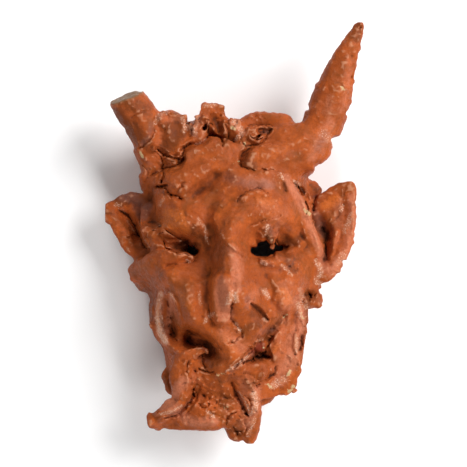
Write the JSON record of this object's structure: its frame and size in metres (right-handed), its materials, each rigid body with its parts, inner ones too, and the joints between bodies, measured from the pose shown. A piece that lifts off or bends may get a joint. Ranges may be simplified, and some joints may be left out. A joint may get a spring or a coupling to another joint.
{
  "type": "devil mask sculpture",
  "caption": "Hollow fired-clay mask of a horned devil with goat ears, pierced eyes, one broken horn, clotted hair and beard, and an open back with a flat rim.",
  "frame": {"origin": "middle of the whole outline, on the plane of the flat back rim that the mask lies on", "axes": "+Z out of the face, +Y from the beard towards the horn tip, +X to the right as the face is looked at"},
  "size_m": [0.2069, 0.3367, 0.1071],
  "materials": {
    "fired_clay": "waxed terracotta, half gloss, with pale chips and dark dust in the hollows"
  },
  "bodies": {
    "root": {"devil_mask": "fired_clay"}
  },
  "joints": []
}
